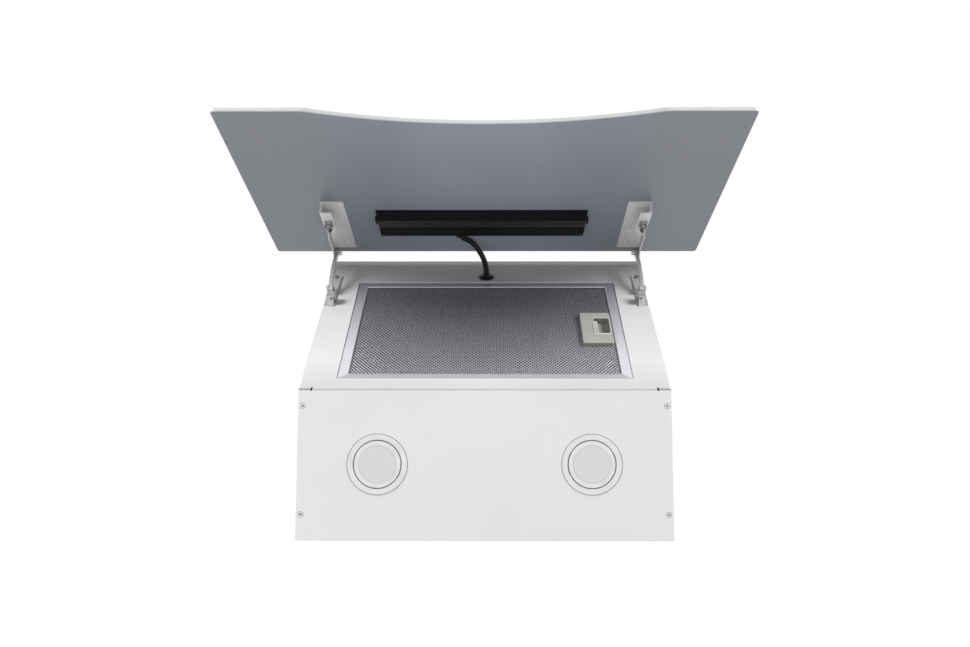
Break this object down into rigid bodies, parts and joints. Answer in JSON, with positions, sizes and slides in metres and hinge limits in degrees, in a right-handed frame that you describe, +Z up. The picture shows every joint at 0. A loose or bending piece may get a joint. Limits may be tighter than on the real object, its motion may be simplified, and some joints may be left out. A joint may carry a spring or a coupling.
{
  "type": "range hood",
  "caption": "Inclined wall range hood with a hinged glass front, grease filter, two round lamps, a fan and a duct spigot.",
  "frame": {"origin": "centre of the wall bolt pattern, on the wall", "axes": "+X to the right seen from the front, +Y into the wall, +Z up"},
  "size_m": [0.6, 0.4729, 0.4854],
  "materials": {
    "white_enamel": "gloss",
    "zinc_sheet": "satin",
    "hinge_steel": "satin",
    "bright_steel": "polished",
    "dark_steel": "satin",
    "filter_aluminium": "satin",
    "handle_plastic": "satin",
    "lamp_housing": "satin",
    "lamp_diffuser": "frosted",
    "board": "satin",
    "green_board": "satin",
    "heat_sink": "cast",
    "fan_plastic": "satin",
    "motor_metal": "satin",
    "grey_plastic": "satin",
    "white_plastic": "satin",
    "black_rubber": "matte",
    "black_plastic": "satin",
    "back_painted_glass": "polished, painted on its back"
  },
  "bodies": {
    "root": {"side_left": "white_enamel", "side_right": "white_enamel", "face_panel": "white_enamel", "back_panel": "zinc_sheet", "top_panel": "zinc_sheet", "light_plate": "white_enamel", "light_plate_screws": "bright_steel", "lamp_bezel_left": "lamp_housing", "lamp_bezel_right": "lamp_housing", "lamp_lens_left": "lamp_diffuser", "lamp_lens_right": "lamp_diffuser", "lamp_board_left": "board", "lamp_board_right": "board", "lamp_can_left": "heat_sink", "lamp_can_right": "heat_sink", "filter_frame": "filter_aluminium", "filter_mesh": "filter_aluminium", "filter_core": "filter_aluminium", "filter_back_mesh": "filter_aluminium", "filter_tabs": "filter_aluminium", "filter_handle": "handle_plastic", "latch_spring": "bright_steel", "fan_scroll": "fan_plastic", "fan_side_left": "fan_plastic", "fan_side_right": "fan_plastic", "fan_flange": "fan_plastic", "motor": "motor_metal", "motor_bracket": "zinc_sheet", "capacitor": "white_plastic", "duct_collar": "grey_plastic", "flap_rod": "bright_steel", "terminal_box": "grey_plastic", "mains_gland": "black_rubber", "lamp_driver": "white_plastic", "grommet": "black_rubber", "cable": "black_rubber", "hinge_base_left": "hinge_steel", "hinge_base_right": "hinge_steel", "hinge_arm_left": "hinge_steel", "hinge_arm_right": "hinge_steel", "hinge_pin_left": "bright_steel", "hinge_pin_right": "bright_steel", "hinge_fixings": "bright_steel", "catch_keeper_left": "hinge_steel", "catch_keeper_right": "hinge_steel"},
    "panel": {"glass_panel": "back_painted_glass", "glass_bracket_left": "hinge_steel", "glass_bracket_right": "hinge_steel", "catch_barrel_left": "dark_steel", "catch_barrel_right": "dark_steel", "control_box": "black_plastic", "control_box_caps": "black_plastic", "control_board": "green_board", "box_gland": "black_rubber"},
    "latch": {"filter_latch": "handle_plastic"},
    "fan": {"fan_wheel": "fan_plastic", "motor_shaft": "bright_steel"},
    "front_flap": {"flap_front": "grey_plastic"},
    "back_flap": {"flap_back": "grey_plastic"}
  },
  "joints": [
    {"name": "panel_hinge", "type": "hinge", "parent": "root", "child": "panel", "pos_m": [0, -0.39025, 0.11557], "axis": [1, 0, 0], "range_deg": [-40, 45], "deforming": ["cable"]},
    {"name": "filter_latch_slide", "type": "slide", "parent": "root", "child": "latch", "axis": [-1, 0, 0], "range_m": [0, 0.006], "stiffness_N_per_m": 300, "springref_m": -0.004, "deforming": ["latch_spring"]},
    {"name": "fan_spin", "type": "hinge", "parent": "root", "child": "fan", "pos_m": [0, -0.1516, 0.04981], "axis": [1, 0, 0], "continuous": true},
    {"name": "flap_front_hinge", "type": "hinge", "parent": "root", "child": "front_flap", "pos_m": [0, -0.07626, 0.16181], "axis": [-1, 0, 0], "range_deg": [0, 75]},
    {"name": "flap_back_hinge", "type": "hinge", "parent": "root", "child": "back_flap", "pos_m": [0, -0.07626, 0.16181], "axis": [1, 0, 0], "range_deg": [0, 75]}
  ]
}
